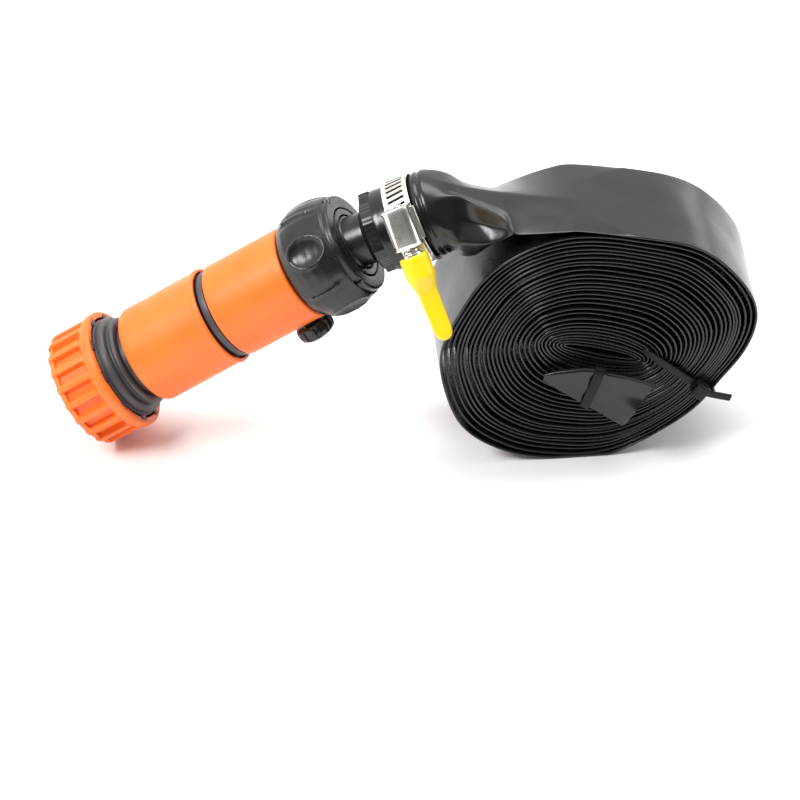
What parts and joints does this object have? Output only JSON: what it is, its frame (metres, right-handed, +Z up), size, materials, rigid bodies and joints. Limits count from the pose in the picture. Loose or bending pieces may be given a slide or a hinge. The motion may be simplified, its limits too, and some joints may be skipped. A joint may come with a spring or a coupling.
{
  "type": "soaker hose",
  "caption": "Rolled flat soaker hose with a barbed end, worm clamp and key, compression nut, quick coupler with flow knob, and threaded tap nut.",
  "frame": {"origin": "centre of the flat that the roll rests on, on the floor under the roll", "axes": "+X from the tap end to the roll, +Y away from the face that shows the hose's free end, +Z up"},
  "size_m": [0.2343, 0.0711, 0.1044],
  "materials": {
    "orange_plastic": "satin moulded plastic",
    "grey_plastic": "satin moulded plastic",
    "black_plastic": "satin black moulded plastic",
    "hose_film": "glossy black film",
    "seal_rubber": "matte black rubber",
    "stainless_steel": "bright stainless steel",
    "yellow_plastic": "satin moulded plastic",
    "tie_nylon": "satin black nylon"
  },
  "bodies": {
    "hose_assembly": {"hose_roll": "hose_film", "hose_lead": "hose_film", "hose_end": "hose_film", "end_ring": "tie_nylon", "roll_tie": "tie_nylon", "barb_adapter": "black_plastic", "adapter_o_ring": "seal_rubber", "clamp_band": "stainless_steel", "clamp_housing": "stainless_steel", "coupler_core": "grey_plastic", "coupler_shell": "orange_plastic", "collar_spring": "stainless_steel"},
    "tap_adapter": {"tap_adapter": "grey_plastic", "tap_washer": "seal_rubber", "spigot_o_ring": "seal_rubber"},
    "tap_nut": {"tap_nut": "orange_plastic", "retaining_ring": "grey_plastic"},
    "release_collar": {"release_collar": "orange_plastic"},
    "locking_jaw_1": {"locking_jaw_1": "grey_plastic"},
    "locking_jaw_2": {"locking_jaw_2": "grey_plastic"},
    "locking_jaw_3": {"locking_jaw_3": "grey_plastic"},
    "flow_knob": {"flow_knob": "black_plastic", "flow_plug": "grey_plastic", "knob_o_ring": "seal_rubber"},
    "grip_collet": {"grip_collet": "black_plastic"},
    "compression_nut": {"compression_nut": "black_plastic"},
    "clamp_key": {"clamp_screw": "stainless_steel", "thumb_key": "yellow_plastic"}
  },
  "joints": [
    {"name": "adapter_swivel", "type": "hinge", "parent": "hose_assembly", "child": "tap_adapter", "pos_m": [-0.13226, 0.00941, 0.03848], "axis": [0.8161, -0.1147, 0.5664], "continuous": true},
    {"name": "tap_nut_turn", "type": "hinge", "parent": "tap_adapter", "child": "tap_nut", "pos_m": [-0.15674, 0.01285, 0.02149], "axis": [0.8161, -0.1147, 0.5664], "continuous": true},
    {"name": "collar_slide", "type": "slide", "parent": "hose_assembly", "child": "release_collar", "axis": [0.8161, -0.1147, 0.5664], "range_m": [0, 0.0026], "stiffness_N_per_m": 1200, "springref_m": -0.004, "deforming": ["collar_spring"]},
    {"name": "jaw_1_slide", "type": "slide", "parent": "hose_assembly", "child": "locking_jaw_1", "axis": [-0.401, -0.8182, 0.4121], "range_m": [0, 0.00085]},
    {"name": "jaw_2_slide", "type": "slide", "parent": "hose_assembly", "child": "locking_jaw_2", "axis": [0.5609, -0.0788, -0.8241], "range_m": [0, 0.00085]},
    {"name": "jaw_3_slide", "type": "slide", "parent": "hose_assembly", "child": "locking_jaw_3", "axis": [-0.1599, 0.897, 0.4121], "range_m": [0, 0.00085]},
    {"name": "knob_turn", "type": "hinge", "parent": "hose_assembly", "child": "flow_knob", "pos_m": [-0.09716, 0.00448, 0.06284], "axis": [0.5058, -0.3324, -0.796], "range_deg": [0, 90]},
    {"name": "collet_slide", "type": "slide", "parent": "hose_assembly", "child": "grip_collet", "axis": [0.8161, -0.1147, 0.5664], "range_m": [0, 0.0021]},
    {"name": "compression_nut_turn", "type": "hinge", "parent": "grip_collet", "child": "compression_nut", "pos_m": [-0.08329, 0.00253, 0.07246], "axis": [0.8161, -0.1147, 0.5664], "range_deg": [0, 360]},
    {"name": "clamp_key_turn", "type": "hinge", "parent": "hose_assembly", "child": "clamp_key", "pos_m": [-0.05992, -0.01652, 0.09614], "axis": [0.3187, -0.5174, -0.7942], "continuous": true}
  ],
  "couplings": [
    {"joint": "jaw_1_slide", "follows": "collar_slide", "ratio": 0.30769},
    {"joint": "jaw_2_slide", "follows": "collar_slide", "ratio": 0.30769},
    {"joint": "jaw_3_slide", "follows": "collar_slide", "ratio": 0.30769},
    {"joint": "collet_slide", "follows": "compression_nut_turn", "m_per_rad": 0.00031831}
  ]
}
